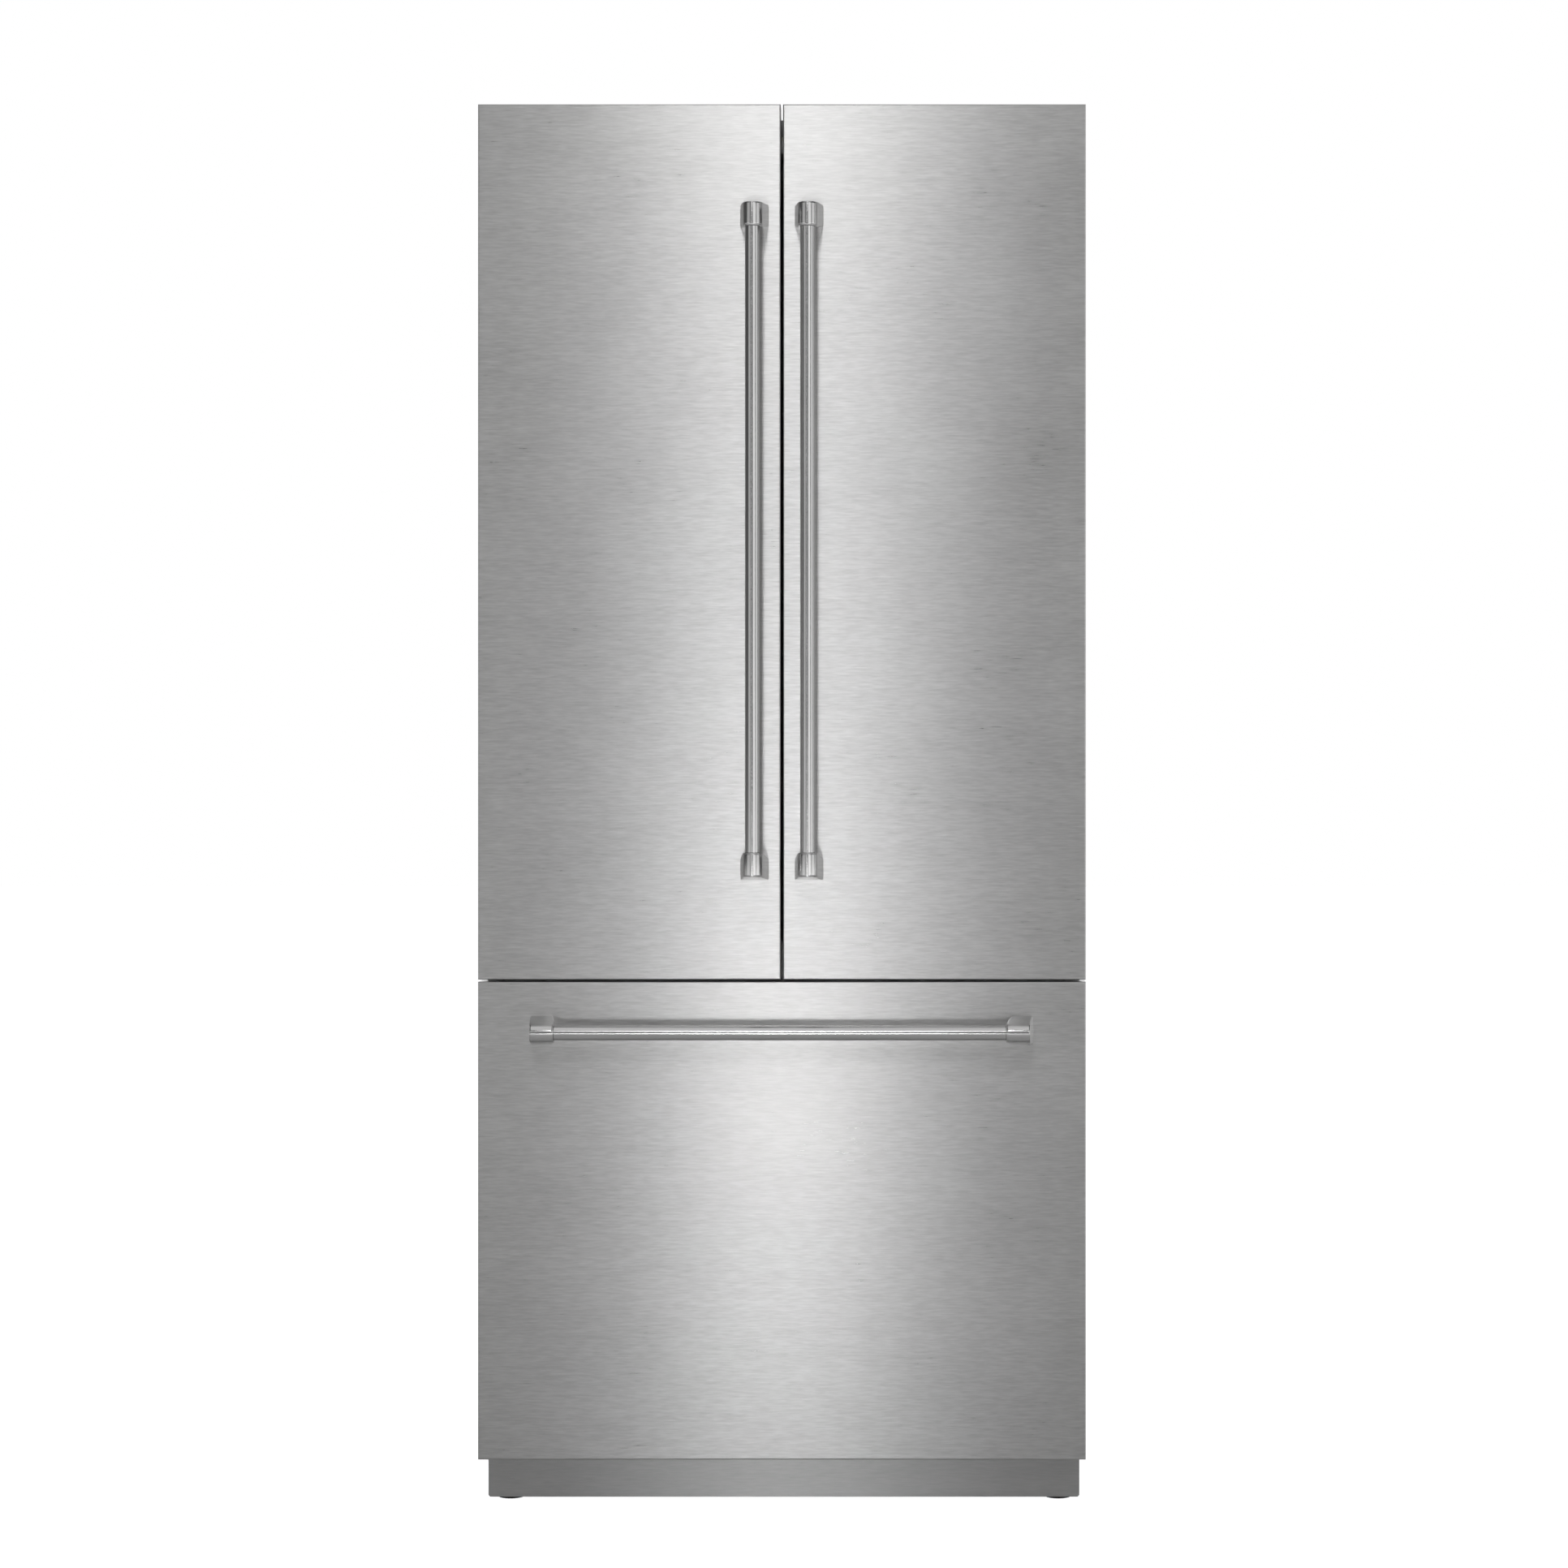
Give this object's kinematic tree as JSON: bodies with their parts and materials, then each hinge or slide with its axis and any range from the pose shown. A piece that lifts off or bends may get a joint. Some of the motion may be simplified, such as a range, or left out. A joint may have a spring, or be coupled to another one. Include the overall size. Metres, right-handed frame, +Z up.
{
  "type": "french door refrigerator",
  "caption": "French door refrigerator in brushed steel: two doors over a pull-out freezer drawer, round bar handles on faceted posts and a recessed plinth.",
  "frame": {"origin": "on the floor, in the middle of the overall width and depth", "axes": "+X to the right of someone facing the doors, doors face -Y, +Z up"},
  "size_m": [0.908, 0.71, 2.1],
  "materials": {
    "steel_front": "satin",
    "steel_handle": "satin",
    "cabinet_paint": "satin",
    "zinc_steel": "satin",
    "foam": "matte",
    "liner_plastic": "satin",
    "clear_plastic": "gloss",
    "shelf_glass": "gloss",
    "seal_rubber": "matte",
    "black_plastic": "matte",
    "mullion_plastic": "satin",
    "button_plastic": "satin",
    "black_paint": "satin",
    "fin_aluminium": "satin"
  },
  "bodies": {
    "cabinet": {"cabinet_shell": "cabinet_paint", "back_panel": "zinc_steel", "base_pan": "zinc_steel", "foam_insulation": "foam", "fridge_liner": "liner_plastic", "freezer_liner": "liner_plastic", "divider_rail": "zinc_steel", "toe_kick": "steel_front", "roller_brackets": "zinc_steel", "compressor": "black_paint", "condenser": "fin_aluminium", "fan_shroud": "black_plastic", "drain_pan": "black_plastic", "rear_cover": "zinc_steel", "fridge_air_panel": "liner_plastic", "freezer_air_panel": "liner_plastic", "evaporator": "fin_aluminium", "control_panel": "liner_plastic", "ceiling_light": "clear_plastic", "shelf_frames": "liner_plastic", "shelf_glass": "shelf_glass", "shelf_ladders": "zinc_steel", "crisper_cover_frame": "liner_plastic", "crisper_left": "clear_plastic", "crisper_right": "clear_plastic", "door_hinges": "zinc_steel", "slide_outer": "zinc_steel"},
    "door_left": {"door_panel_left": "steel_front", "door_liner_left": "liner_plastic", "door_gasket_left": "seal_rubber", "door_bins_left": "clear_plastic", "handle_bar_left": "steel_handle", "handle_posts_left": "steel_handle", "mullion_brackets": "black_plastic"},
    "door_right": {"door_panel_right": "steel_front", "door_liner_right": "liner_plastic", "door_gasket_right": "seal_rubber", "door_bins_right": "clear_plastic", "handle_bar_right": "steel_handle", "handle_posts_right": "steel_handle"},
    "drawer": {"drawer_panel": "steel_front", "drawer_liner": "liner_plastic", "drawer_gasket": "seal_rubber", "drawer_handle_bar": "steel_handle", "drawer_handle_posts": "steel_handle", "slide_inner": "zinc_steel", "freezer_basket": "liner_plastic"},
    "foot_left": {"front_foot_left": "black_plastic"},
    "foot_right": {"front_foot_right": "black_plastic"},
    "roller_left": {"rear_roller_left": "black_plastic"},
    "roller_right": {"rear_roller_right": "black_plastic"},
    "condenser_fan": {"condenser_fan": "black_plastic"},
    "evaporator_fan": {"evaporator_fan": "black_plastic"},
    "button_left": {"control_button_left": "button_plastic"},
    "button_middle": {"control_button_middle": "button_plastic"},
    "button_right": {"control_button_right": "button_plastic"},
    "mullion": {"mullion_bar": "mullion_plastic"},
    "slide_middle": {"slide_middle": "zinc_steel"},
    "tray": {"freezer_tray": "liner_plastic"}
  },
  "joints": [
    {"name": "door_left_hinge", "type": "hinge", "parent": "cabinet", "child": "door_left", "pos_m": [-0.442, -0.255, 1.44], "axis": [0, 0, 1], "range_deg": [-110, 0]},
    {"name": "door_right_hinge", "type": "hinge", "parent": "cabinet", "child": "door_right", "pos_m": [0.442, -0.255, 1.44], "axis": [0, 0, 1], "range_deg": [0, 110]},
    {"name": "mullion_fold", "type": "hinge", "parent": "door_left", "child": "mullion", "pos_m": [-0.037, -0.2087, 1.44], "axis": [0, 0, 1], "range_deg": [-90, 0]},
    {"name": "drawer_slide", "type": "slide", "parent": "cabinet", "child": "drawer", "axis": [0, -1, 0], "range_m": [0, 0.4]},
    {"name": "slide_middle_travel", "type": "slide", "parent": "cabinet", "child": "slide_middle", "axis": [0, -1, 0], "range_m": [0, 0.2]},
    {"name": "tray_slide", "type": "slide", "parent": "cabinet", "child": "tray", "axis": [0, -1, 0], "range_m": [0, 0.22]},
    {"name": "button_left_press", "type": "slide", "parent": "cabinet", "child": "button_left", "axis": [0, 1, 0], "range_m": [0, 0.0012], "stiffness_N_per_m": 600},
    {"name": "button_middle_press", "type": "slide", "parent": "cabinet", "child": "button_middle", "axis": [0, 1, 0], "range_m": [0, 0.0012], "stiffness_N_per_m": 600},
    {"name": "button_right_press", "type": "slide", "parent": "cabinet", "child": "button_right", "axis": [0, 1, 0], "range_m": [0, 0.0012], "stiffness_N_per_m": 600},
    {"name": "foot_left_turn", "type": "hinge", "parent": "cabinet", "child": "foot_left", "pos_m": [-0.416, -0.18, 0.05], "axis": [0, 0, 1], "continuous": true},
    {"name": "foot_right_turn", "type": "hinge", "parent": "cabinet", "child": "foot_right", "pos_m": [0.416, -0.18, 0.05], "axis": [0, 0, 1], "continuous": true},
    {"name": "roller_left_spin", "type": "hinge", "parent": "cabinet", "child": "roller_left", "pos_m": [-0.4, 0.285, 0.025], "axis": [1, 0, 0], "continuous": true},
    {"name": "roller_right_spin", "type": "hinge", "parent": "cabinet", "child": "roller_right", "pos_m": [0.4, 0.285, 0.025], "axis": [1, 0, 0], "continuous": true},
    {"name": "condenser_fan_spin", "type": "hinge", "parent": "cabinet", "child": "condenser_fan", "pos_m": [0.112, 0.235, 0.182], "axis": [1, 0, 0], "continuous": true},
    {"name": "evaporator_fan_spin", "type": "hinge", "parent": "cabinet", "child": "evaporator_fan", "pos_m": [0, 0.233, 0.643], "axis": [0, 1, 0], "continuous": true}
  ],
  "couplings": [
    {"joint": "slide_middle_travel", "follows": "drawer_slide", "ratio": 0.5},
    {"joint": "tray_slide", "follows": "drawer_slide", "ratio": 0.55}
  ]
}
